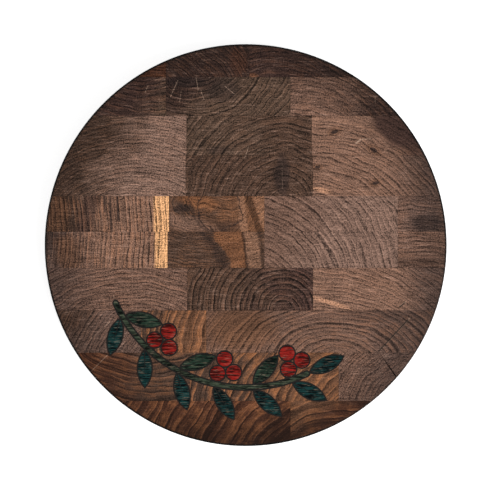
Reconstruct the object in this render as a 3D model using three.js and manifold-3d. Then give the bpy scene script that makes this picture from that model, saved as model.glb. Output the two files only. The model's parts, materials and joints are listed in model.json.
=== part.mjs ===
// Round cutting board: walnut blocks glued up with their end grain on the work face, cut round,
// eased at the rim, with a coloured sprig of leaves and berries let into the work face.
// Millimetres, +Z up. The origin is the centre of the underside, +Y points to the back of the board.
import * as THREE from 'three';
import { mergeVertices } from 'three/addons/utils/BufferGeometryUtils.js';
import Module from 'manifold-3d';

// Round blank
const BOARD_DIAMETER = 300;
const BOARD_THICKNESS = 32;
const EDGE_RADIUS = 2.5;
const RIM_STEPS = 180;
const EDGE_STEPS = 4;

// Glue film between neighbouring blocks
const GLUE_LINE = 0.1;

// Walnut tones, from the dark heart of the log to its paler outer wood
const WALNUT = {
  heart: 0x3d2e29,
  dark: 0x46332b,
  red: 0x4b3127,
  taupe: 0x523f35,
  grey: 0x5a463e,
  orange: 0x664a3a,
  pink: 0x6b5245,
  pale: 0x7b5d4e,
};
const WOOD_ROUGHNESS = 0.6;

// Rows of blocks from the back of the board to the front. Depth is a row's size along Y and joints
// are the X of the upright glue lines in it, both as shares of the board's diameter. The front row
// takes the depth that is left.
const ROWS = [
  { depth: 0.0833, joints: [-0.1977, 0.009], tones: ['red', 'heart', 'heart'] },
  { depth: 0.096, joints: [-0.1977, 0.111], tones: ['dark', 'dark', 'orange'] },
  { depth: 0.0983, joints: [-0.147, 0.164], tones: ['pink', 'taupe', 'pink'] },
  { depth: 0.101, joints: [-0.149, 0.1667], tones: ['pink', 'taupe', 'pale'] },
  { depth: 0.0883, joints: [-0.1903, 0.0463, 0.3773], tones: ['pink', 'orange', 'pale', 'grey'] },
  { depth: 0.0897, joints: [-0.194, 0.0463, 0.3773], tones: ['pale', 'orange', 'pale', 'orange'] },
  { depth: 0.1057, joints: [-0.1453, 0.167], tones: ['pink', 'taupe', 'pale'] },
  { depth: 0.1047, joints: [-0.26, -0.098], tones: ['grey', 'orange', 'pink'] },
  { depth: 0.1197, joints: [-0.138, 0.2307], tones: ['red', 'orange', 'grey'] },
  { joints: [0.111], tones: ['red', 'dark'] },
];

// Drying check: a crack that opens towards the rim of the front right quarter
const CHECK_RIM_ANGLE = THREE.MathUtils.degToRad(-41.3);
const CHECK_HEADING = THREE.MathUtils.degToRad(125);
const CHECK_LENGTH = 24.6;
const CHECK_WIDTH = 1.2;
const CHECK_DEPTH = 3;

// Inlay: one stem that follows the rim, with leaves and bunches of berries at even steps along it.
// The stem's radius is a share of the board's; leaf and berry are shares of the way between two shoots,
// and a leaf's vein is a share of its length.
const INLAY_DEPTH = 3;
const INLAY_LINE = 1.1;
const FILLER_FIT = 0.05;
const STEM_RADIUS_SHARE = 0.707;
const STEM_START_ANGLE = THREE.MathUtils.degToRad(204);
const STEM_END_ANGLE = THREE.MathUtils.degToRad(6.5);
const STEM_WIDTH = 3;
const SHOOT_COUNT = 6;
const SHOOT_ANGLE = THREE.MathUtils.degToRad(15.7);
const LEAF_LENGTH_SHARE = 0.93;
const LEAF_WIDTH_SHARE = 0.345;
const LEAF_LEAN = THREE.MathUtils.degToRad(46);
const VEIN_WIDTH = 0.9;
const VEIN_DEPTH = 1.5;
const VEIN_SHARE = 0.72;
const BERRY_SHARE = 0.38;
const STEM_STEPS = 24;
const STEM_END_STEPS = 5;
const LEAF_SIDE_STEPS = 9;
const BERRY_STEPS = 20;
const INLAY_FINISH = {
  stem: { color: 0x3c5041, roughness: 0.5 },
  outerLeaf: { color: 0x163e43, roughness: 0.45 },
  innerLeaf: { color: 0x33503f, roughness: 0.45 },
  berry: { color: 0xaa2d2d, roughness: 0.45 },
  filler: { color: 0x0d0b0a, roughness: 0.6 },
};

// How far a cutting solid runs past the face that it cuts, and how close two corners are one corner
const CUT_OVERRUN = 1;
const MERGE_DISTANCE = 1e-4;

const boardRadius = BOARD_DIAMETER / 2;
const pocketFloor = BOARD_THICKNESS - INLAY_DEPTH;
const stemRadius = boardRadius * STEM_RADIUS_SHARE;
const stemTurn = 2 * STEM_END_ANGLE + (SHOOT_COUNT - 1) * SHOOT_ANGLE;
const shootPitch = stemRadius * SHOOT_ANGLE;
const leafLength = shootPitch * LEAF_LENGTH_SHARE;
const leafWidth = shootPitch * LEAF_WIDTH_SHARE;
const berryDiameter = shootPitch * BERRY_SHARE;

const wasm = await Module();
wasm.setup();

function solidOf(geometry) {
  const bare = geometry.clone();
  bare.deleteAttribute('normal');
  bare.deleteAttribute('uv');
  const merged = mergeVertices(bare, MERGE_DISTANCE);
  const corners = merged.index.array;
  const triVerts = [];
  for (let i = 0; i < corners.length; i += 3) {
    const [a, b, c] = corners.slice(i, i + 3);
    if (a !== b && b !== c && c !== a) triVerts.push(a, b, c);
  }
  return new wasm.Manifold(new wasm.Mesh({
    numProp: 3,
    vertProperties: merged.attributes.position.array,
    triVerts: new Uint32Array(triVerts),
  }));
}

function geometryOf(solid) {
  const { vertProperties, triVerts } = solid.getMesh();
  const shared = new THREE.BufferGeometry();
  shared.setAttribute('position', new THREE.BufferAttribute(vertProperties, 3));
  shared.setIndex(new THREE.BufferAttribute(triVerts, 1));
  const flat = shared.toNonIndexed();
  flat.computeVertexNormals();
  return flat;
}

function joined(solids) {
  return solids.reduce((whole, solid) => whole.add(solid));
}

function arc(centre, radius, from, to, steps) {
  return Array.from({ length: steps + 1 }, (_, i) => {
    const angle = from + ((to - from) * i) / steps;
    return new THREE.Vector2(Math.cos(angle), Math.sin(angle)).multiplyScalar(radius).add(centre);
  });
}

function prism(outline, bottom, top) {
  const geometry = new THREE.ExtrudeGeometry(new THREE.Shape(outline), {
    depth: top - bottom,
    bevelEnabled: false,
  });
  return geometry.translate(0, 0, bottom);
}

function namedMesh(name, geometry, finish) {
  const mesh = new THREE.Mesh(geometry, new THREE.MeshStandardMaterial({ ...finish, metalness: 0 }));
  mesh.name = name;
  return mesh;
}

// The round blank: its half section turned about the Z axis, with both edges eased
function roundBlank() {
  const flatRadius = boardRadius - EDGE_RADIUS;
  const lowerEdge = new THREE.Vector2(flatRadius, EDGE_RADIUS);
  const upperEdge = new THREE.Vector2(flatRadius, BOARD_THICKNESS - EDGE_RADIUS);
  const profile = [
    new THREE.Vector2(0, 0),
    ...arc(lowerEdge, EDGE_RADIUS, -Math.PI / 2, 0, EDGE_STEPS),
    ...arc(upperEdge, EDGE_RADIUS, 0, Math.PI / 2, EDGE_STEPS),
    new THREE.Vector2(0, BOARD_THICKNESS),
  ];
  return solidOf(new THREE.LatheGeometry(profile, RIM_STEPS).rotateX(Math.PI / 2));
}

// A square-sided block of the glue-up, before the board is cut round
function squareBlock(left, right, front, back) {
  const box = new THREE.BoxGeometry(right - left, back - front, BOARD_THICKNESS + 2 * CUT_OVERRUN);
  return solidOf(box.translate((left + right) / 2, (front + back) / 2, BOARD_THICKNESS / 2));
}

function dryingCheck() {
  const mouth = new THREE.Vector2(boardRadius, 0).rotateAround(new THREE.Vector2(), CHECK_RIM_ANGLE);
  const inward = new THREE.Vector2(Math.cos(CHECK_HEADING), Math.sin(CHECK_HEADING));
  const across = new THREE.Vector2(-inward.y, inward.x).multiplyScalar(CHECK_WIDTH / 2);
  const tip = mouth.clone().addScaledVector(inward, CHECK_LENGTH);
  const outside = mouth.clone().addScaledVector(inward, -CUT_OVERRUN);
  const outline = [tip, outside.clone().sub(across), outside.clone().add(across)];
  return solidOf(prism(outline, BOARD_THICKNESS - CHECK_DEPTH, BOARD_THICKNESS + CUT_OVERRUN));
}

// Blocks of one row, cut to the round blank and then by the pockets and the drying check
function rowOfBlocks(row, rowNumber, back, front, blank, cuts) {
  const edges = [-1, ...row.joints, 1].map((share) => share * BOARD_DIAMETER);
  const halfGlue = GLUE_LINE / 2;
  const group = new THREE.Group();
  for (let i = 0; i < edges.length - 1; i += 1) {
    const left = edges[i] + halfGlue;
    const right = edges[i + 1] - halfGlue;
    const square = squareBlock(left, right, front + halfGlue, back - halfGlue);
    const block = square.intersect(blank).subtract(cuts);
    if (block.isEmpty()) continue;
    const name = `row_${String(rowNumber).padStart(2, '0')}_block_${i + 1}`;
    const finish = { color: WALNUT[row.tones[i]], roughness: WOOD_ROUGHNESS };
    group.add(namedMesh(name, geometryOf(block), finish));
  }
  return group;
}

// The Y of each row's back and front, from the back of the board; the outermost run past the rim
function rowLines() {
  const lines = [BOARD_DIAMETER];
  let glueLine = boardRadius;
  for (const row of ROWS.slice(0, -1)) {
    glueLine -= row.depth * BOARD_DIAMETER;
    lines.push(glueLine);
  }
  return [...lines, -BOARD_DIAMETER];
}

function glueUp(cuts) {
  const blank = roundBlank();
  const lines = rowLines();
  const group = new THREE.Group();
  ROWS.forEach((row, i) => group.add(rowOfBlocks(row, i + 1, lines[i], lines[i + 1], blank, cuts)));
  return group;
}

// Place on the stem's middle line at a turn from its start, with the way on and the way out to the rim
function stemFrame(turn) {
  const angle = STEM_START_ANGLE + turn;
  const outward = new THREE.Vector2(Math.cos(angle), Math.sin(angle));
  return {
    angle,
    outward,
    onward: new THREE.Vector2(-outward.y, outward.x),
    point: outward.clone().multiplyScalar(stemRadius),
  };
}

// Outlines of the inlay pieces. Each takes a margin: none for the piece itself, more for its pocket.
function stemOutline(margin) {
  const start = stemFrame(0);
  const end = stemFrame(stemTurn);
  const half = STEM_WIDTH / 2 + margin;
  const middle = new THREE.Vector2();
  return [
    ...arc(middle, stemRadius + half, start.angle, end.angle, STEM_STEPS).slice(0, -1),
    ...arc(end.point, half, end.angle, end.angle + Math.PI, STEM_END_STEPS).slice(0, -1),
    ...arc(middle, stemRadius - half, end.angle, start.angle, STEM_STEPS).slice(0, -1),
    ...arc(start.point, half, start.angle + Math.PI, start.angle + 2 * Math.PI, STEM_END_STEPS).slice(0, -1),
  ];
}

// A pointed leaf between two equal arcs, from its foot along a heading
function leafOutline(foot, heading, margin) {
  const sideRadius = (leafLength ** 2 + leafWidth ** 2) / (4 * leafWidth);
  const sideOffset = sideRadius - leafWidth / 2;
  const halfTurn = Math.acos(sideOffset / (sideRadius + margin));
  const side = (sign) => arc(
    new THREE.Vector2(leafLength / 2, -sign * sideOffset),
    sideRadius + margin,
    (sign * Math.PI) / 2 - halfTurn,
    (sign * Math.PI) / 2 + halfTurn,
    LEAF_SIDE_STEPS,
  ).slice(0, -1);
  return [...side(1), ...side(-1)].map((p) => p.rotateAround(new THREE.Vector2(), heading).add(foot));
}

// The vein of a leaf: a groove from its foot that tapers to a point, open to the filler round the leaf
function veinOutline(foot, heading, margin) {
  const half = VEIN_WIDTH / 2 + margin;
  const corners = [
    new THREE.Vector2(-INLAY_LINE / 2, -half),
    new THREE.Vector2(leafLength * VEIN_SHARE + margin, 0),
    new THREE.Vector2(-INLAY_LINE / 2, half),
  ];
  return corners.map((p) => p.rotateAround(new THREE.Vector2(), heading).add(foot));
}

function leaf(foot, heading) {
  return {
    outline: (margin) => leafOutline(foot, heading, margin),
    vein: (margin) => veinOutline(foot, heading, margin),
  };
}

function berryOutline(centre, margin) {
  return arc(centre, berryDiameter / 2 + margin, 0, 2 * Math.PI, BERRY_STEPS).slice(0, -1);
}

// A leaf beside the stem, one filler line away from it and leaning onward; side is 1 towards the rim
function sideLeaf(turn, side) {
  const { point, outward, onward } = stemFrame(turn);
  const foot = point.clone().addScaledVector(outward, side * (STEM_WIDTH / 2 + INLAY_LINE));
  return leaf(foot, onward.angle() - side * LEAF_LEAN);
}

function tipLeaf() {
  const { point, onward } = stemFrame(stemTurn);
  const foot = point.clone().addScaledVector(onward, STEM_WIDTH / 2 + INLAY_LINE);
  return leaf(foot, onward.angle());
}

// Three berries on the inner side of the stem, leaning onward, each one filler line from the next
function berryBunch(turn) {
  const { point, outward, onward } = stemFrame(turn);
  const berryPitch = berryDiameter + INLAY_LINE;
  const first = point.clone().addScaledVector(outward, -(STEM_WIDTH / 2 + INLAY_LINE + berryDiameter / 2));
  const spread = [-Math.PI / 6, Math.PI / 6].map((lean) => {
    const reach = onward.clone().rotateAround(new THREE.Vector2(), LEAF_LEAN + lean);
    return first.clone().addScaledVector(reach, berryPitch);
  });
  return [first, ...spread].map((centre) => ({ outline: (margin) => berryOutline(centre, margin) }));
}

// Every coloured piece of the inlay: its name, its finish, the outline that it is cut to and a leaf's vein
function inlayPieces() {
  const pieces = [{ name: 'inlay_stem', finish: INLAY_FINISH.stem, outline: stemOutline }];
  const counts = {};
  const add = (kind, finish, shape) => {
    counts[kind] = (counts[kind] ?? 0) + 1;
    pieces.push({ name: `${kind}_${counts[kind]}`, finish, ...shape });
  };
  for (let i = 0; i < SHOOT_COUNT; i += 1) {
    const turn = STEM_END_ANGLE + i * SHOOT_ANGLE;
    add('outer_leaf', INLAY_FINISH.outerLeaf, sideLeaf(turn, 1));
    if (i % 2 === 0) {
      add('inner_leaf', INLAY_FINISH.innerLeaf, sideLeaf(turn, -1));
    } else {
      berryBunch(turn).forEach((berry) => add('berry', INLAY_FINISH.berry, berry));
    }
  }
  add('tip_leaf', INLAY_FINISH.outerLeaf, tipLeaf());
  return pieces;
}

function allOutlines(pieces, margin, bottom, top) {
  return joined(pieces.map((piece) => solidOf(prism(piece.outline(margin), bottom, top))));
}

function veinSolid(piece, margin, top) {
  return solidOf(prism(piece.vein(margin), BOARD_THICKNESS - VEIN_DEPTH - margin, top));
}

function colouredPiece(piece) {
  const whole = solidOf(prism(piece.outline(0), pocketFloor, BOARD_THICKNESS));
  if (!piece.vein) return whole;
  return whole.subtract(veinSolid(piece, FILLER_FIT, BOARD_THICKNESS + CUT_OVERRUN));
}

// Dark filler: the pockets' room round the coloured pieces and their veins, filled up to the work face
function fillerLine(pieces) {
  const outer = allOutlines(pieces, INLAY_LINE - FILLER_FIT, pocketFloor, BOARD_THICKNESS);
  const holes = allOutlines(pieces, FILLER_FIT, pocketFloor - CUT_OVERRUN, BOARD_THICKNESS + CUT_OVERRUN);
  const veined = pieces.filter((piece) => piece.vein);
  const veins = joined(veined.map((piece) => veinSolid(piece, 0, BOARD_THICKNESS)));
  return namedMesh('inlay_filler', geometryOf(outer.subtract(holes).add(veins)), INLAY_FINISH.filler);
}

function inlay(pieces) {
  const group = new THREE.Group();
  for (const piece of pieces) {
    group.add(namedMesh(piece.name, geometryOf(colouredPiece(piece)), piece.finish));
  }
  group.add(fillerLine(pieces));
  return group;
}

const pieces = inlayPieces();
const pockets = allOutlines(pieces, INLAY_LINE, pocketFloor, BOARD_THICKNESS + CUT_OVERRUN);
const board = new THREE.Group();
board.name = 'round_cutting_board';
board.add(glueUp(pockets.add(dryingCheck())));
board.add(inlay(pieces));

export default board;
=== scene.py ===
import json
import math

import bmesh
import bpy
from mathutils import Matrix, Vector


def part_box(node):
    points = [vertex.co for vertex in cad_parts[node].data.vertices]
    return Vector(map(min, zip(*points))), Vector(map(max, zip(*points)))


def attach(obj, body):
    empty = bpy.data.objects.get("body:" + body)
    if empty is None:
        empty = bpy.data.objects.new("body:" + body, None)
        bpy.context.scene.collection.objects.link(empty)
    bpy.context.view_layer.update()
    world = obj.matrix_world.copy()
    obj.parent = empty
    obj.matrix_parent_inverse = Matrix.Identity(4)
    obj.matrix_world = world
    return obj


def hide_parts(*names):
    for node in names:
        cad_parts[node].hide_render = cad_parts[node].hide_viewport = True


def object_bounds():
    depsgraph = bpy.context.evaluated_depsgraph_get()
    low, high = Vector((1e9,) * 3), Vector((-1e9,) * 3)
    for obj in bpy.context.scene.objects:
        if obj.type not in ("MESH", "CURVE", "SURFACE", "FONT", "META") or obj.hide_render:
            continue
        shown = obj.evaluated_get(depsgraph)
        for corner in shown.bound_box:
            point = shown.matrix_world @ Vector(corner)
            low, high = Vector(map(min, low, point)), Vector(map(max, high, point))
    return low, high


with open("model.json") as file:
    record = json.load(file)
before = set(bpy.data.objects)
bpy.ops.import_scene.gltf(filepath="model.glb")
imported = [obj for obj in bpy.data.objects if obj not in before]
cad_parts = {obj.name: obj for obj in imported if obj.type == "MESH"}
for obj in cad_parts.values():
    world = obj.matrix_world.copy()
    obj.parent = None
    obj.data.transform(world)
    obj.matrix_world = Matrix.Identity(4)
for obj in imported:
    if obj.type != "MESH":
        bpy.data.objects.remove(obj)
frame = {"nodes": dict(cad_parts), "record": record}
cad_low, cad_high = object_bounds()

# Walnut blocks of the glue-up. Each is a sawn stick of black walnut stood on end, so that its growth
# rings show on the work face and its long grain on the rim. They are glued edge to edge in ten rows,
# turned round as one blank, eased at both edges, sanded and oiled.
MM = 0.001
board_radius = (cad_high.x - cad_low.x) / 2 / MM
board_thickness = (cad_high.z - cad_low.z) / MM


class Shade:
    """A shader socket. Arithmetic on it adds Math nodes to its tree."""

    def __init__(self, nodes, socket):
        self.nodes = nodes
        self.socket = socket

    def maths(self, operation, *others):
        return self.nodes.maths(operation, self, *others)

    def __add__(self, other):
        return self.maths("ADD", other)

    def __sub__(self, other):
        return self.maths("SUBTRACT", other)

    def __rsub__(self, other):
        return self.nodes.maths("SUBTRACT", other, self)

    def __mul__(self, other):
        return self.maths("MULTIPLY", other)

    def __truediv__(self, other):
        return self.maths("DIVIDE", other)

    def __pow__(self, other):
        return self.maths("POWER", other)

    __radd__ = __add__
    __rmul__ = __mul__

    def ramp(self, low, high):
        """Rises smoothly from 0 at low to 1 at high."""
        stops = {"Value": self, "From Min": low, "From Max": high}
        return self.nodes.add("ShaderNodeMapRange", stops, interpolation_type="SMOOTHSTEP")

    def band(self, low, high, soft):
        """1 between low and high, fading to 0 over soft at both ends."""
        return self.ramp(low - soft, low + soft) * (1 - self.ramp(high - soft, high + soft))


class Nodes:
    """A node tree and the shader that it ends in."""

    def __init__(self, tree, shader):
        self.tree = tree
        self.shader = tree.nodes[shader]

    def add(self, kind, values, output=0, **settings):
        node = self.tree.nodes.new(kind)
        for name, value in settings.items():
            setattr(node, name, value)
        for name, value in values.items():
            if isinstance(value, Shade):
                self.tree.links.new(value.socket, node.inputs[name])
            else:
                node.inputs[name].default_value = value
        return Shade(self, node.outputs[output])

    def maths(self, operation, *operands):
        return self.add("ShaderNodeMath", dict(enumerate(operands)), operation=operation)

    def mix(self, amount, first, second):
        return self.add("ShaderNodeMix", {0: amount, 6: first, 7: second}, output=2, data_type="RGBA")

    def feed(self, socket, shade):
        self.tree.links.new(shade.socket, self.shader.inputs[socket])


class Finish(Nodes):
    """A material under construction, with the place on the board in millimetres."""

    def __init__(self, name, **constants):
        self.material = bpy.data.materials.new(name)
        self.material.use_nodes = True
        super().__init__(self.material.node_tree, "Principled BSDF")
        for socket, value in constants.items():
            self.shader.inputs[socket.replace("_", " ")].default_value = value
        here = self.add("ShaderNodeTexCoord", {}, output="Object")
        self.place = self.scaled(here, 1 / MM)
        self.x, self.y, self.z = (
            self.add("ShaderNodeSeparateXYZ", {0: self.place}, output=axis) for axis in "XYZ"
        )

    def scaled(self, vector, amount):
        return self.add("ShaderNodeVectorMath", {0: vector, "Scale": amount}, operation="SCALE")

    def point(self, x, y, z):
        return self.add("ShaderNodeCombineXYZ", {"X": x, "Y": y, "Z": z})

    def noise(self, place, scale, detail=2.0, rough=0.5):
        """Soft noise round 0.5, with scale as its swells to the millimetre."""
        values = {"Vector": place, "Scale": scale, "Detail": detail, "Roughness": rough}
        return self.add("ShaderNodeTexNoise", values, output="Fac")

    def bump(self, height, distance):
        """Raises and sinks the surface to the eye, with distance in millimetres."""
        values = {"Height": height, "Strength": 1.0, "Distance": distance * MM}
        self.feed("Normal", self.add("ShaderNodeBump", values))

    def spot(self, x, y, wide, high, turn=0.0, soft=0.35, sway=0.0):
        """1 inside an oval patch round a place, fading outwards, with a border that sways."""
        return 1 - self.oval(x, y, wide, high, turn, sway).ramp(1 - soft, 1 + soft)

    def arc(self, x, y, wide, high, turn=0.0, sway=0.0):
        """1 on the thin border of an oval patch."""
        return self.oval(x, y, wide, high, turn, sway).band(0.93, 1.07, soft=0.05)

    def oval(self, x, y, wide, high, turn, sway):
        """0 at a place, 1 on the border of an oval round it and more outside."""
        cos, sin = math.cos(math.radians(turn)), math.sin(math.radians(turn))
        dx, dy = self.x - x, self.y - y
        if sway:
            drift = self.drift(sway)
            dx, dy = dx + drift, dy - drift
        along = (dx * cos + dy * sin) / wide
        across = (dy * cos - dx * sin) / high
        return along * along + across * across

    def drift(self, sway):
        """A soft unevenness up to half of sway either way."""
        return (self.noise(self.place, scale=0.14, detail=3.0) - 0.5) * sway

    def line(self, start, end, width):
        """1 on a thin straight line between two places, fading to its edges."""
        (x0, y0), (x1, y1) = start, end
        length = math.hypot(x1 - x0, y1 - y0)
        ux, uy = (x1 - x0) / length, (y1 - y0) / length
        dx, dy = self.x - x0, self.y - y0
        along = dx * ux + dy * uy
        across = (dy * ux - dx * uy).maths("ABSOLUTE")
        return (1 - across.ramp(width * 0.2, width)) * along.band(0, length, soft=1.0)


def colour(red, green, blue):
    """A colour as seen on screen, in steps of 255, for a shader's linear socket."""
    seen = [step / 255 for step in (red, green, blue)]
    return [c / 12.92 if c <= 0.04045 else ((c + 0.055) / 1.055) ** 2.4 for c in seen] + [1.0]


WALNUT = {
    "heart": colour(57, 40, 34),
    "plum": colour(66, 46, 40),
    "umber": colour(74, 54, 43),
    "taupe": colour(81, 62, 50),
    "ash": colour(92, 71, 62),
    "rose": colour(107, 80, 67),
    "fawn": colour(123, 92, 76),
    "dun": colour(122, 95, 82),
    "blush": colour(133, 101, 85),
    "tawny": colour(106, 72, 51),
    "russet": colour(77, 45, 30),
    "amber": colour(148, 94, 58),
    "sapwood": colour(222, 166, 116),
    "peach": colour(190, 140, 110),
    "silver": colour(146, 120, 107),
    "stain": colour(36, 28, 27),
    "scratch": colour(176, 146, 126),
    # edge: painted shade on the eased rim and a check's floor, and the dark line of a drying crack
    "edge": colour(9, 7, 6),
}


class EndGrain(Finish):
    """Oiled walnut end grain: growth rings round a pith, with a tone at one place that goes over to another.

    ring is the width of a year, strength its contrast, wave how far it bends and flat how low its arcs lie.
    fleck is the share of warm veins, and grain tells coarse wood with broken lines from smooth figured wood.
    """

    def __init__(
        self, block, start, end, pith, ring, strength=0.5, wave=2.0, fleck=0.1, flat=1.0, grain=1.0
    ):
        super().__init__(block, Specular_IOR_Level=0.08)
        self.block = block
        seed = sum(map(ord, block)) * 7.3
        (first, fx, fy), (second, sx, sy) = start, end

        # Each block lies in a part of the noise of its own. Down the stick the figure changes slowly, which
        # makes the long grain of the rim.
        down = self.z * 0.03
        stick = self.point(self.x + seed, self.y - seed, down * 2)

        # Growth rings, bent by the way the tree grew. A year ends in a dark row of pores, bold or faint, and
        # the next one starts with a pale line where the row before it was faint.
        swell = self.noise(stick, scale=0.035) - 0.5
        ripple = self.noise(stick, scale=0.16) - 0.5
        dx, dy = self.x - pith[0], (self.y - pith[1]) * flat
        self.reach = (dx * dx + dy * dy) ** 0.5 + swell * (wave * 5) + ripple * (wave * 0.4)
        far = math.hypot((fx + sx) / 2 - pith[0], flat * ((fy + sy) / 2 - pith[1]))
        round_pith = dy.maths("ARCTAN2", dx) * far
        uneven = self.noise(self.point(self.reach, seed, 0.0), scale=0.14)
        rings = self.reach / ring + uneven * 2.2
        turn = rings.maths("FRACT")
        year = self.add("ShaderNodeTexWhiteNoise", {"W": rings.maths("FLOOR")}, noise_dimensions="1D")
        pore_row = self.point(self.reach * 0.35, round_pith * 0.2, down)
        dashes = self.noise(pore_row, scale=0.9, detail=3.0, rough=0.7).ramp(0.4, 0.58)
        broken = 0.85 * grain
        row = turn.ramp(0.54, 0.86) * (1 - turn.ramp(0.88, 0.99))
        late = row * (year * 0.9 + 0.3) * (dashes * broken + (1.1 - broken))
        early = (1 - turn.ramp(0.04, 0.3)) * (1 - year)

        # Fine lines that follow the rings, rays out from the pith, pores and the level strokes of the sander
        along_rings = self.point(self.reach, round_pith * 0.1, down)
        along_rays = self.point(round_pith, self.reach * 0.06, down)
        down_pores = self.point(self.x, self.y, down)
        along_strokes = self.point(self.x * 0.09, self.y, self.z * 0.2)
        streak = self.noise(along_rings, scale=0.75, detail=3.0, rough=0.75) - 0.5
        rays = self.noise(along_rays, scale=1.0) - 0.5
        pores = self.noise(down_pores, scale=1.05, detail=2.0, rough=0.8) - 0.5
        sanded = self.noise(along_strokes, scale=0.8, detail=3.0, rough=0.75) - 0.5
        cloud = self.noise(stick, scale=0.06, detail=3.0) - 0.5
        warmth = self.noise(stick, scale=0.11, detail=3.0, rough=0.6)

        # Tone from one side of the block to the other, with clouds at the border and warm and grey veins
        span = math.hypot(sx - fx, sy - fy)
        along = ((self.x - fx) * ((sx - fx) / span) + (self.y - fy) * ((sy - fy) / span)) / span
        self.tone = self.mix((along + cloud * 0.9).ramp(0.0, 1.0), WALNUT[first], WALNUT[second])
        self.tint((warmth + streak * 0.8 + (0.45 - turn) * 0.4).ramp(0.4, 0.8), "amber", fleck)
        self.tint((sanded + streak * 0.6).ramp(0.02, 0.34), "silver", 0.4 * grain)

        # Light and dark: the years with their early and late wood, and over them all the fine marks
        coarse = rays * 0.8 + pores * 5.0 + sanded * 1.9
        fine = streak * (0.8 + 1.2 * grain) + coarse * (0.3 + 0.7 * grain) + cloud * 0.5
        years = early * 0.9 - late * 1.7 + (year - 0.5) * 0.3
        self.light = 0.97 + years * strength + fine
        self.relief = fine - late

    def tint(self, mask, name, amount):
        """Lays another tone of the wood over the places of a mask."""
        self.tone = self.mix(mask * amount, self.tone, WALNUT[name])

    def shade(self, mask, amount):
        """Darkens the places of a mask."""
        self.light = self.light * (1 - mask * amount)

    def scratch(self, start, end, width=0.4, amount=0.45):
        """A thin pale line that a knife or the sander left."""
        self.tint(self.line(start, end, width=width), "scratch", amount)

    def crack(self, start, end, width=0.7):
        """A closed drying crack with a pale lip beside it."""
        shift = width * 1.1
        lip = [(x + shift, y + shift) for x, y in (start, end)]
        self.tint(self.line(*lip, width=width), "scratch", 0.6)
        self.tint(self.line(start, end, width=width), "edge", 0.9)

    def knot(self, x, y, size, turn=0.0):
        """A pin knot: a dark eye with a dark ring round it, in a warm patch."""
        self.tint(self.spot(x, y, size * 2.4, size * 1.4, turn=turn, soft=0.6), "tawny", 0.5)
        self.tint(self.arc(x, y, size * 1.7, size * 1.0, turn=turn), "stain", 0.5)
        self.tint(self.spot(x, y, size * 1.2, size * 0.6, turn=turn), "stain", 0.85)

    def glue_in(self):
        """Finishes the wood with painted shade at the rim, the wall, the eased edge and a check's floor, and
        sets the block in its place.
        """
        normal = self.add("ShaderNodeNewGeometry", {}, output="Normal")
        up = self.add("ShaderNodeSeparateXYZ", {0: normal}, output="Z")
        level = up.maths("ABSOLUTE")
        out = (self.x * self.x + self.y * self.y) ** 0.5 / board_radius
        front_right = (self.x * 0.82 - self.y * 0.57) / board_radius

        # Painted shade: darker towards the rim and on the upright wall, a dark eased edge that is painted
        # paler at the front right where the window lights it, and a dark floor in a check
        rim_painted_shade = out.ramp(0.7, 1.02)
        wall_painted_shade = 1 - level.ramp(0.2, 0.8)
        edge_painted_shade = level.band(0.3, 0.93, soft=0.06) * (1 - front_right.ramp(0.8, 0.98) * 0.6)
        check_painted_shade = (1 - self.z.ramp(board_thickness - 2, board_thickness - 0.5)) * up.ramp(0.5, 0.9)
        self.shade(rim_painted_shade, 0.4)
        self.shade(wall_painted_shade, 0.35)
        self.tint(edge_painted_shade, "edge", 0.93)
        self.tint(check_painted_shade, "edge", 0.95)
        self.feed("Base Color", self.scaled(self.tone, self.light.maths("MAXIMUM", 0.16)))
        self.feed("Roughness", (0.66 - self.light * 0.12).maths("MAXIMUM", 0.4))
        self.bump(self.relief, distance=0.1)
        dressed(self.block, self.material)


SHARP_CORNER = math.radians(28)
FLAT_CORNER = math.radians(0.2)
SAME_PLACE = 1e-6
slot_of = {part["node"]: part["material_slot"] for part in frame["record"]["subparts"]}


def dressed(node, material):
    """A copy of a solid with merged corners and a rim that shades round, standing for the solid."""
    shape = bmesh.new()
    shape.from_mesh(frame["nodes"][node].data)
    bmesh.ops.remove_doubles(shape, verts=shape.verts, dist=SAME_PLACE)
    bmesh.ops.dissolve_limit(shape, angle_limit=FLAT_CORNER, verts=shape.verts, edges=shape.edges)
    for face in shape.faces:
        face.smooth = True
    for edge in shape.edges:
        edge.smooth = edge.calc_face_angle(math.pi) < SHARP_CORNER
    mesh = bpy.data.meshes.new(node + "_wood")
    shape.to_mesh(mesh)
    shape.free()
    mesh.materials.append(material)
    piece = bpy.data.objects.new(node + "_wood", mesh)
    bpy.context.scene.collection.objects.link(piece)
    even = piece.modifiers.new("even_shading", "WEIGHTED_NORMAL")
    even.keep_sharp = True
    even.weight = 100
    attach(piece, "root")
    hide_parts(node)


# Back row: three dark sticks from the heart of the log, cut small by the round of the rim. The joint
# between the two long ones shows a warm vein on both sides.
wood = EndGrain(
    "row_01_block_1", ("russet", -80, 122), ("russet", -62, 130),
    pith=(-75, 60), ring=3.0,
)
wood.glue_in()
wood = EndGrain(
    "row_01_block_2", ("heart", -50, 140), ("heart", 0, 135),
    pith=(-110, 55), ring=3.2, strength=0.4,
)
wood.tint(wood.spot(-5, 137, 7, 9, soft=0.8, sway=8), "russet", 0.5)
wood.glue_in()
wood = EndGrain(
    "row_01_block_3", ("plum", 8, 130), ("heart", 60, 132),
    pith=(20, 60), ring=3.4, strength=0.4,
)
wood.tint(wood.spot(5, 126, 4, 2, soft=0.9), "amber", 0.3)
wood.glue_in()

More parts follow.
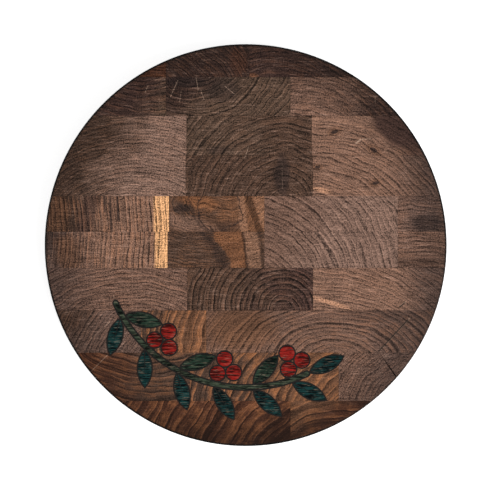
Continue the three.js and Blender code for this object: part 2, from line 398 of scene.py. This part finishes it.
# Second row: dark heartwood, in the middle a stick with its pith beyond the back edge and fine checks
# that run out from it, and a pinker stick on the right that darkens at the rim.
wood = EndGrain(
    "row_02_block_1", ("plum", -84, 110), ("taupe", -56, 92),
    pith=(-75, 170), ring=3.8, strength=0.5,
)
wood.scratch((-72.8, 118.6), (-75.0, 113.4))
wood.glue_in()
wood = EndGrain(
    "row_02_block_2", ("heart", -46, 124), ("taupe", -22, 104),
    pith=(-38, 152), ring=3.8, strength=0.58, fleck=0.05,
)
wood.tint(wood.spot(-44, 122, 15, 5, sway=6), "stain", 0.5)
wood.tint(wood.spot(-18, 117, 13, 10, soft=0.8, sway=8), "stain", 0.55)
wood.scratch((-50.3, 123.1), (-56.3, 109.7))
wood.scratch((-36.9, 124.6), (-35.4, 115.6))
wood.scratch((-33.5, 115.5), (-30.9, 108.0))
wood.scratch((-15.5, 118.2), (-7.5, 111.8))
wood.scratch((-48.0, 114.7), (-49.2, 106.5), amount=0.3)
wood.glue_in()
wood = EndGrain(
    "row_02_block_3", ("rose", 60, 110), ("heart", 108, 104),
    pith=(40, 40), ring=3.6,
)
wood.scratch((96.4, 111.9), (96.4, 105.9))
wood.glue_in()

# Third and fourth rows: pairs of sticks sawn from one plank, so that the rings of each pair go on
# from row to row. The middle pair holds the pith, the right pair small pin knots. A mark is given by
# its place on the board, so it shows on the one stick of a pair that lies there.
PAIRED_ROWS = {
    "row_03": (82, ("umber", -112, 84), ("dun", -64, 74), "taupe", ("plum", 134, 88)),
    "row_04": (52, ("umber", -124, 64), ("dun", -84, 42), "umber", ("ash", 142, 52)),
}
for row, (middle, dark, pale, heart, rim) in PAIRED_ROWS.items():
    wood = EndGrain(
        row + "_block_1", dark, pale,
        pith=(-82, -26), ring=2.8, strength=0.48, wave=1.2,
    )
    wood.glue_in()
    wood = EndGrain(
        row + "_block_2", (heart, -30, middle), ("umber", 40, middle),
        pith=(28, 30), ring=4.1, strength=0.5, fleck=0.05,
    )
    wood.tint(wood.spot(27, 52, 6, 15, soft=0.6, sway=6), "stain", 0.65)
    wood.tint(wood.spot(-21, 71, 9, 3, soft=0.9, sway=10), "stain", 0.5)
    wood.scratch((2.4, 74.0), (-0.8, 64.6))
    wood.scratch((27.1, 62.0), (27.4, 42.0), amount=0.12)
    wood.glue_in()
    wood = EndGrain(
        row + "_block_3", ("fawn", 100, middle), rim,
        pith=(41, -34), ring=3.4, strength=0.5, grain=0.75,
    )
    wood.tint(wood.spot(111, 86, 20, 10, turn=-38, soft=0.6, sway=6), "plum", 0.9)
    wood.knot(66.2, 84.3, 2.4, turn=20)
    wood.knot(95.3, 70.8, 2.6, turn=-30)
    wood.knot(96.8, 46.2, 2.2, turn=10)
    wood.knot(53.5, 58.1, 1.8)
    wood.tint(wood.spot(56, 41, 8, 1.7, turn=-14, soft=0.8), "peach", 0.7)
    wood.scratch((81.8, 75.6), (85.6, 78.6), width=0.9, amount=0.9)
    wood.scratch((85.6, 78.6), (93.1, 79.2), width=0.6, amount=0.6)
    wood.glue_in()

# Fifth row: the left stick reaches the pale sapwood under the bark, the next one comes from a crotch
# with swirled orange figure, the third has wide arcs, and the last is a short grey one at the rim.
BARK_STICK_PITH = (-330, 10)
WIDE_STICK_PITH = (-2, -38)
RIM_STICK_PITH = (128, -120)
CROTCH_LEAN = 0.125
wood = EndGrain(
    "row_05_block_1", ("umber", -135, 24), ("fawn", -85, 22),
    pith=BARK_STICK_PITH, ring=3.4, strength=0.7, wave=0.8, fleck=0.25,
)
wood.tint(wood.spot(-141, 22, 9, 18, soft=0.8, sway=10), "tawny", 0.6)
wood.tint((wood.x - wood.y * 0.3).band(-130, -119, soft=3), "plum", 0.55)
wood.tint(wood.x.band(-68.5, -50, soft=1.2), "sapwood", 0.8)
wood.tint(wood.line((-105.4, 37), (-105.0, 24), width=1.4), "stain", 0.8)
wood.tint(wood.line((-100.6, 37), (-100.2, 10), width=1.4), "stain", 0.7)
wood.tint(wood.line((-95.6, 37), (-95.0, 18), width=1.4), "stain", 0.8)
wood.glue_in()
wood = EndGrain(
    "row_05_block_2", ("umber", -50, 20), ("tawny", 0, 24),
    pith=(-20, 60), ring=2.6, strength=0.35, wave=7.0, fleck=0.25, grain=0.6,
)
wood.tint(wood.spot(-42, 16, 17, 6, turn=-12, soft=0.9, sway=16), "blush", 0.6)
wood.tint(wood.spot(-36, 33, 17, 5, turn=-15, soft=0.9, sway=16), "amber", 0.4)
wood.tint(wood.spot(-49, 27.3, 7, 2.4, soft=0.6, sway=6), "stain", 0.7)
wood.tint(wood.spot(-13, 13, 14, 6, turn=15, soft=0.8, sway=10), "stain", 0.45)
lean = wood.x + wood.y * CROTCH_LEAN + wood.reach * 0.02
wood.tint(lean.band(-1.5, 4.0, soft=1.2), "peach", 0.28)
slant = wood.x + wood.y * 0.325 + wood.drift(3)
wood.shade(slant.band(11.2, 16.0, soft=0.9), 0.5)
wood.tint(slant.band(17.0, 26.0, soft=1.2), "peach", 0.18)
wood.tint(wood.arc(-20, 27, 16.5, 17, sway=10), "stain", 0.75)
wood.tint(wood.arc(-17, 31, 24, 23, sway=12) * (1 - wood.x.ramp(-16, -10)), "stain", 0.5)
wood.glue_in()
wood = EndGrain(
    "row_05_block_3", ("rose", 20, 24), ("dun", 90, 20),
    pith=WIDE_STICK_PITH, ring=4.4, strength=0.5, fleck=0.02, grain=0.85,
)
wood.glue_in()
wood = EndGrain(
    "row_05_block_4", ("rose", 112, 22), ("ash", 128, 22),
    pith=RIM_STICK_PITH, ring=3.4, strength=0.45,
)
wood.tint(wood.spot(136, 17, 12, 6, soft=0.6, sway=8), "stain", 0.6)
wood.glue_in()

# Sixth row: the other halves of the fifth row's sticks, turned end for end. The crotch stick shows a
# warm wedge of straight wood with a dark line round it.
wood = EndGrain(
    "row_06_block_1", ("ash", -142, -4), ("fawn", -100, -3),
    pith=BARK_STICK_PITH, ring=3.4, strength=0.6, wave=0.8, fleck=0.25,
)
wood.tint(wood.spot(-132, -6, 10, 14, turn=20, soft=0.9, sway=14), "tawny", 0.6)
wood.tint(wood.spot(-147, 5, 7, 7, turn=-30, soft=0.8, sway=10), "stain", 0.45)
wood.tint(wood.x.band(-67.5, -50, soft=1.2), "sapwood", 0.85)
wood.glue_in()
wood = EndGrain(
    "row_06_block_2", ("umber", -50, -4), ("umber", -14, 0),
    pith=(-30, 90), ring=1.8, strength=0.2, wave=3.0, fleck=0.2, grain=0.8,
)
lean = wood.x + wood.y * CROTCH_LEAN + wood.drift(4)
wedge = (wood.x + 23) * 0.87 + (wood.y - 5) * 0.49 + wood.drift(12)
wood.tint(wedge.band(-7, -1.5, soft=2.5), "stain", 0.55)
wood.tint(wedge.ramp(-0.5, 1.5) * (1 - lean.ramp(-2.2, -0.6)), "amber", 0.4)
wood.shade(wood.spot(-11, -3, 8, 5, turn=35, soft=0.9, sway=10), 0.25)
wood.shade(lean.band(-2.0, -0.4, soft=0.8), 0.45)
wood.tint(lean.band(0, 9.5, soft=1.2), "peach", 0.25)
wood.shade(lean.band(10.5, 12.5, soft=0.8), 0.35)
wood.glue_in()
wood = EndGrain(
    "row_06_block_3", ("rose", 16, 0), ("dun", 66, -5),
    pith=WIDE_STICK_PITH, ring=4.4, strength=0.5, fleck=0.02, grain=0.85,
)
wood.glue_in()
wood = EndGrain(
    "row_06_block_4", ("rose", 112, -2), ("rose", 146, -6),
    pith=RIM_STICK_PITH, ring=3.4, strength=0.45,
)
wood.shade(wood.y.band(-15, -10, soft=1.5), 0.4)
wood.glue_in()

# Seventh row: long arcs on the left, bold rings round a pith at the front edge in the middle, and pale
# wood on the right with a streak of sapwood and a short crack.
wood = EndGrain(
    "row_07_block_1", ("ash", -146, -34), ("rose", -104, -32),
    pith=(-85, -130), ring=2.8, strength=0.55, wave=1.4,
)
wood.scratch((-98.5, -37.0), (-97.0, -43.0), amount=0.3)
wood.glue_in()
wood = EndGrain(
    "row_07_block_2", ("umber", -20, -30), ("plum", 60, -38),
    pith=(28, -51), ring=4.1, strength=0.8, fleck=0.08,
)
wood.glue_in()
wood = EndGrain(
    "row_07_block_3", ("fawn", 110, -34), ("ash", 138, -32),
    pith=(48, -154), ring=3.4, strength=0.5, grain=0.75,
)
wood.tint(wood.spot(62, -42.5, 16, 1.6, turn=-17, soft=0.9), "peach", 0.7)
wood.crack((113.6, -46.8), (118.3, -43.1), width=0.8)
wood.glue_in()

# Eighth row: a grey-purple stick, an orange one and a long one with arcs round its pith and an old
# crack that was worked shut. The last two come from one plank and share their pith.
CROWN_PITH = (67, -88)
wood = EndGrain(
    "row_08_block_1", ("umber", -132, -52), ("ash", -112, -66),
    pith=(-40, -110), ring=3.0,
)
wood.scratch((-116.0, -70.5), (-101.0, -57.0), amount=0.3)
wood.glue_in()
wood = EndGrain(
    "row_08_block_2", ("umber", -72, -66), ("tawny", -40, -64),
    pith=CROWN_PITH, ring=5.5, strength=0.4, fleck=0.6, grain=0.5,
)
wood.glue_in()
wood = EndGrain(
    "row_08_block_3", ("rose", 70, -62), ("ash", 130, -60),
    pith=CROWN_PITH, ring=5.0, strength=0.46, fleck=0.2, flat=1.6, grain=0.6,
)
wood.tint(wood.spot(-5, -62, 26, 16, soft=0.8), "tawny", 0.8)
wood.shade(wood.spot(0, -54, 36, 12, soft=0.9), 0.22)
wood.shade(wood.spot(100, -50, 32, 7, turn=-4, soft=0.9), 0.25)
wood.crack((121.1, -55.2), (98.7, -79.3), width=0.9)
wood.glue_in()

# Ninth row: a red-brown stick, an orange one with bright flecks, and a grey one. The grey one has split
# at the rim as it dried. Its check is cut in the solid, and the check's floor is darkened with painted
# shade.
wood = EndGrain(
    "row_09_block_1", ("russet", -115, -100), ("umber", -60, -96),
    pith=(-70, -10), ring=4.6, strength=0.42, fleck=0.3, grain=0.4,
)
wood.scratch((-114.6, -93.5), (-102.6, -81.6))
wood.glue_in()
wood = EndGrain(
    "row_09_block_2", ("umber", -20, -98), ("tawny", 55, -98),
    pith=(100, -150), ring=6.2, strength=0.38, fleck=0.65, grain=0.4,
)
wood.glue_in()
wood = EndGrain(
    "row_09_block_3", ("rose", 76, -90), ("ash", 105, -98),
    pith=(150, -150), ring=2.6, strength=0.45,
)
wood.glue_in()

# Front row: two orange-brown sticks whose arcs share one pith beyond the rim. Their years are wide and
# run smooth from golden early wood to a dark late line.
FRONT_PITH = (71, -191)
FRONT_EDGE = -148
FRONT_JOINT = -116
wood = EndGrain(
    "row_10_block_1", ("russet", -60, -130), ("russet", 10, -128),
    pith=FRONT_PITH, ring=7.5, strength=0.4, fleck=0.5, grain=0.35,
)
wood.shade(wood.x.band(14, 40, soft=4), 0.3)
# Painted shade: the front row darkens towards the front rim
wood.shade(1 - wood.y.ramp(FRONT_EDGE, FRONT_JOINT), 0.5)
wood.glue_in()
wood = EndGrain(
    "row_10_block_2", ("tawny", 50, -118), ("russet", 60, -134),
    pith=FRONT_PITH, ring=7.0, strength=0.4, fleck=0.5, grain=0.35,
)
# Painted shade: the front row darkens towards the front rim
wood.shade(1 - wood.y.ramp(FRONT_EDGE, FRONT_JOINT), 0.4)
wood.glue_in()

# Glue film in the joints: brown wood glue, squeezed to a tenth of a millimetre. It fills the gap between
# two blocks up to the depth of the inlay's pockets and stops just short of the rim's upright wall.
POCKET_GAP = 0.2
EASED_EDGE = 2.5
EDGE_GAP = 0.1
RIM_GAP = 0.3
FILM_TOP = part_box("inlay_filler")[0].z / MM - POCKET_GAP
FILM_FOOT = EASED_EDGE + EDGE_GAP
FILM_SHARE = 0.9
GLUE_DEEP = colour(22, 15, 11)
GLUE_PALE = colour(48, 33, 24)


def sheet(shape, left, right, front, back):
    """A thin upright sheet of glue between four sides, in millimetres."""
    middle = Vector(((left + right) / 2, (front + back) / 2, (FILM_FOOT + FILM_TOP) / 2)) * MM
    size = Vector((right - left, back - front, FILM_TOP - FILM_FOOT)) * MM
    place = Matrix.Translation(middle) @ Matrix.Diagonal(size.to_4d())
    bmesh.ops.create_cube(shape, size=1.0, matrix=place)


def half_chord(offset):
    """Half the board's width at an offset from its middle, short of the rim."""
    return math.sqrt((board_radius - RIM_GAP) ** 2 - offset ** 2)


film = bmesh.new()
block_rows = {}
for node in slot_of:
    if node.startswith("row_"):
        row = node.rsplit("_block_", 1)[0]
        block_rows.setdefault(row, []).append([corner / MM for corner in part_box(node)])
row_sides = [(min(low.y for low, _ in row), max(high.y for _, high in row)) for row in block_rows.values()]
for (front, _), (_, back) in zip(row_sides, row_sides[1:]):
    thin = (front - back) * (1 - FILM_SHARE) / 2
    side = half_chord(front)
    sheet(film, -side, side, back + thin, front - thin)
for row, (front, back) in zip(block_rows.values(), row_sides):
    for (_, high), (low, _) in zip(row, row[1:]):
        thin = (low.x - high.x) * (1 - FILM_SHARE) / 2
        reach = half_chord(low.x)
        sheet(film, high.x + thin, low.x - thin, max(front, -reach), min(back, reach))
film_mesh = bpy.data.meshes.new("glue_film")
film.to_mesh(film_mesh)
film.free()
glue = Finish("glue_brown", Specular_IOR_Level=0.2)
drops = glue.noise(glue.place, scale=0.4, detail=3.0)
glue.feed("Base Color", glue.mix(drops, GLUE_DEEP, GLUE_PALE))
glue.feed("Roughness", 0.4 + drops * 0.3)
glue.bump(drops, distance=0.02)
film_mesh.materials.append(glue.material)
glue_film = bpy.data.objects.new("glue_film", film_mesh)
bpy.context.scene.collection.objects.link(glue_film)
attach(glue_film, "root")

# Coloured inlay. Stem, leaves and berries are tinted resin set in pockets of the work face and sanded
# flush, so the sander's level strokes show across them.
RESIN = {
    "stem": (colour(57, 67, 53), colour(7, 12, 9)),
    "outer_leaf": (colour(22, 54, 53), colour(1, 7, 9)),
    "inner_leaf": (colour(40, 58, 46), colour(4, 11, 9)),
    "berry": (colour(136, 30, 25), colour(46, 8, 7)),
}
DUST = colour(140, 124, 106)
SOOT = colour(10, 9, 8)
NICKS_SHIFT = 40.0


def resin(name, pale, deep):
    """Sanded resin: strokes of a pale and a deep tone, with dust in some and dark wear in others."""
    tint = Finish(name, Specular_IOR_Level=0.03)
    along_strokes = tint.point(tint.x * 0.1, tint.y, 0.0)
    along_nicks = tint.point(tint.x * 0.12, tint.y + NICKS_SHIFT, 0.0)
    strokes = tint.noise(along_strokes, scale=0.8, detail=3.0, rough=0.7)
    nicks = tint.noise(along_nicks, scale=1.0, detail=3.0, rough=0.7)
    cloud = tint.noise(tint.place, scale=0.12, detail=3.0)
    body = tint.mix((strokes * 1.6 + cloud * 0.6).ramp(0.97, 1.27), deep, pale)
    dusty = tint.mix(nicks.ramp(0.54, 0.7) * 0.42, body, DUST)
    tint.feed("Base Color", tint.mix((1 - nicks.ramp(0.32, 0.46)) * 0.85, dusty, SOOT))
    tint.feed("Roughness", 0.45 + strokes * 0.3)
    tint.bump(strokes, distance=0.1)
    return tint.material


KIND_OF = {"inlay_stem": "stem", "tip_leaf_1": "outer_leaf"}
tints = {kind: resin("resin_" + kind, *pair) for kind, pair in RESIN.items()}
for node, solid in frame["nodes"].items():
    kind = KIND_OF.get(node, node.rsplit("_", 1)[0])
    if kind in tints:
        solid.data.materials.clear()
        solid.data.materials.append(tints[kind])

# Dark filler, worked into the pockets round the inlay and into the veins of the leaves, and sanded level
# with the wood. It is one connected web.
FILLER_DEEP = colour(6, 6, 5)
FILLER_PALE = colour(24, 20, 17)
filler = Finish("filler_dark", Specular_IOR_Level=0.15)
grit = filler.noise(filler.place, scale=2.0, detail=3.0)
filler.feed("Base Color", filler.mix(grit, FILLER_DEEP, FILLER_PALE))
filler.feed("Roughness", 0.5 + grit * 0.25)
filler.bump(grit, distance=0.1)
frame["nodes"]["inlay_filler"].data.materials.clear()
frame["nodes"]["inlay_filler"].data.materials.append(filler.material)

# Floor: a plain white table top, wide enough to fill every view. It glows a little to the eye alone, so
# that it stays white and still takes the board's shadow.
FLOOR_SIZE = 14.0
FLOOR_DROP = 0.2
FLOOR_GLOW = 0.55
FLOOR_WHITE = (0.86, 0.86, 0.86, 1)
BLACK = (0, 0, 0, 1)
WHITE = (1, 1, 1, 1)
ground = bmesh.new()
lowered = Matrix.Translation((0, 0, -FLOOR_DROP * MM))
bmesh.ops.create_grid(ground, x_segments=4, y_segments=4, size=FLOOR_SIZE / 2, matrix=lowered)
floor_mesh = bpy.data.meshes.new("floor")
ground.to_mesh(floor_mesh)
ground.free()
floor = bpy.data.objects.new("floor", floor_mesh)
bpy.context.scene.collection.objects.link(floor)
white = Finish("floor_white", Base_Color=FLOOR_WHITE, Roughness=0.9, Emission_Strength=FLOOR_GLOW)
seen = white.add("ShaderNodeLightPath", {}, output="Is Camera Ray")
white.feed("Emission Color", white.mix(seen, BLACK, WHITE))
floor_mesh.materials.append(white.material)


# Light: a large soft window from the front right, a weaker one from behind, and a pale room that looks
# white to the eye.
def window(name, place, size, power):
    """A soft square lamp that faces the board."""
    lamp = bpy.data.lights.new(name, "AREA")
    lamp.shape = "SQUARE"
    lamp.size = size
    lamp.energy = power
    rig = bpy.data.objects.new(name, lamp)
    rig.location = place
    rig.rotation_euler = (-rig.location).to_track_quat("-Z", "Y").to_euler()
    bpy.context.scene.collection.objects.link(rig)


window("window_front_right", place=(0.9, -0.7, 1.3), size=1.0, power=26.0)
window("window_back_left", place=(-0.9, 0.8, 1.6), size=1.2, power=9.0)
ROOM_LIGHT = (0.45, 0.45, 0.45, 1)
room = bpy.data.worlds.new("room")
room.use_nodes = True
walls = Nodes(room.node_tree, "Background")
seen = walls.add("ShaderNodeLightPath", {}, output="Is Camera Ray")
walls.feed("Color", walls.mix(seen, ROOM_LIGHT, WHITE))
bpy.context.scene.world = room

# Camera straight above the board, with the board's middle and width where the photograph has them. Its
# height follows from the lens and the widest round of the rim.
LENS = 100.0
SENSOR = 36.0
FRAME_PIXELS = 500.0
BOARD_PIXELS = 402.0
BOARD_MIDDLE = (245.7, 245.1)
RIM_HEIGHT = board_thickness - EASED_EDGE
pixel = 2 * board_radius * MM / BOARD_PIXELS
aside, below = [(FRAME_PIXELS / 2 - middle) * pixel for middle in BOARD_MIDDLE]
eye = bpy.data.cameras.new("eye")
eye.lens = LENS
eye.sensor_width = SENSOR
camera = bpy.data.objects.new("eye", eye)
camera.location = (aside, -below, FRAME_PIXELS * pixel * LENS / SENSOR + RIM_HEIGHT * MM)
bpy.context.scene.collection.objects.link(camera)
bpy.context.scene.camera = camera
bpy.context.scene.view_settings.view_transform = "Standard"
